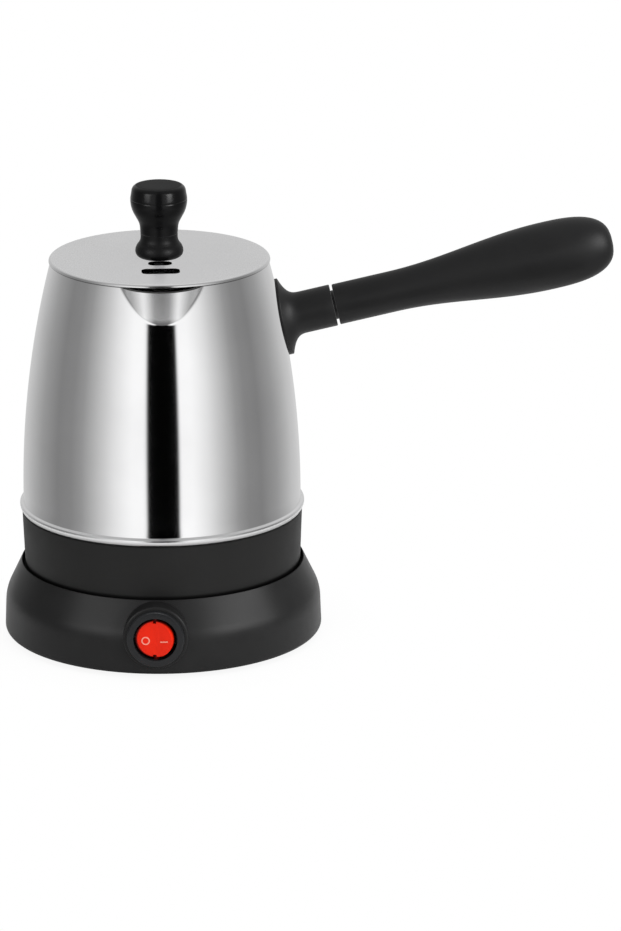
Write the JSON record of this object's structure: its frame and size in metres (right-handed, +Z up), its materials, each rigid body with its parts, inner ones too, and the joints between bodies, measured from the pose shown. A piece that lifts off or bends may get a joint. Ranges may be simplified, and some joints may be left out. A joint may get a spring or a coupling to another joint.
{
  "type": "electric turkish coffee maker",
  "caption": "Tapered steel pot with a long tilted handle, spout and loose knobbed lid, standing on a round power base with a central connector and a round rocker switch.",
  "frame": {"origin": "on the table under the middle of the pot, at the foot ring's lower face", "axes": "+Z up, +X towards the handle, -Y towards the spout and the switch"},
  "size_m": [0.2449, 0.1356, 0.1848],
  "materials": {
    "polished_steel": "polished stainless steel",
    "lid_steel": "fine satin stainless steel",
    "inner_steel": "plain stainless steel",
    "fastener_steel": "plated steel",
    "plate_aluminium": "cast aluminium",
    "element_steel": "dark annealed tube",
    "thermostat_case": "plain cap on a moulded body",
    "contact_brass": "plain brass",
    "base_black": "smooth black",
    "cover_black": "matt black",
    "skirt_black": "satin black",
    "connector_black": "matt black",
    "switch_black": "satin black",
    "handle_black": "satin black",
    "knob_black": "gloss black",
    "rocker_red": "clear red",
    "foot_rubber": "matt rubber",
    "gland_rubber": "matt rubber",
    "lead_insulation": "silicone sleeve",
    "lamp_glass": "small glow lamp"
  },
  "bodies": {
    "base": {"base_shell": "base_black", "base_cover": "cover_black", "cover_screws": "fastener_steel", "foot_ring": "foot_rubber", "base_connector": "connector_black", "connector_contacts": "contact_brass", "connector_screws": "fastener_steel", "cord_gland": "gland_rubber", "switch_lead": "lead_insulation", "switch_housing": "switch_black", "switch_terminals": "contact_brass", "neon_lamp": "lamp_glass"},
    "pot": {"pot_shell": "polished_steel", "pot_bottom": "inner_steel", "heat_plate": "plate_aluminium", "heating_element": "element_steel", "thermostat": "thermostat_case", "bimetal_disc": "contact_brass", "heater_straps": "contact_brass", "pot_skirt": "skirt_black", "skirt_posts": "fastener_steel", "skirt_screws": "fastener_steel", "pot_connector": "connector_black", "pot_contacts": "contact_brass", "pot_connector_screws": "fastener_steel", "handle_bracket": "inner_steel", "handle_stud": "fastener_steel", "handle_ferrule": "handle_black", "handle_grip": "handle_black", "grip_insert": "contact_brass"},
    "lid": {"lid_plate": "lid_steel", "lid_ring": "inner_steel", "lid_knob": "knob_black", "knob_screw": "fastener_steel", "knob_washer": "fastener_steel"},
    "rocker": {"switch_rocker": "rocker_red", "switch_plunger": "fastener_steel", "plunger_spring": "fastener_steel"},
    "contact": {"switch_contact": "contact_brass"}
  },
  "joints": [
    {"name": "pot_lift", "type": "slide", "parent": "base", "child": "pot", "axis": [0, 0, 1], "range_m": [0, 0.06]},
    {"name": "lid_lift", "type": "slide", "parent": "pot", "child": "lid", "axis": [0, 0, 1], "range_m": [0, 0.05]},
    {"name": "switch_rock", "type": "hinge", "parent": "base", "child": "rocker", "pos_m": [-0.00445, -0.06364, 0.0172], "axis": [0, 0, 1], "range_deg": [0, 22]},
    {"name": "contact_rock", "type": "hinge", "parent": "base", "child": "contact", "pos_m": [-0.00385, -0.05502, 0.0172], "axis": [0, 0, 1], "range_deg": [-12, 0]}
  ],
  "couplings": [
    {"joint": "contact_rock", "follows": "switch_rock", "ratio": -0.54545}
  ]
}
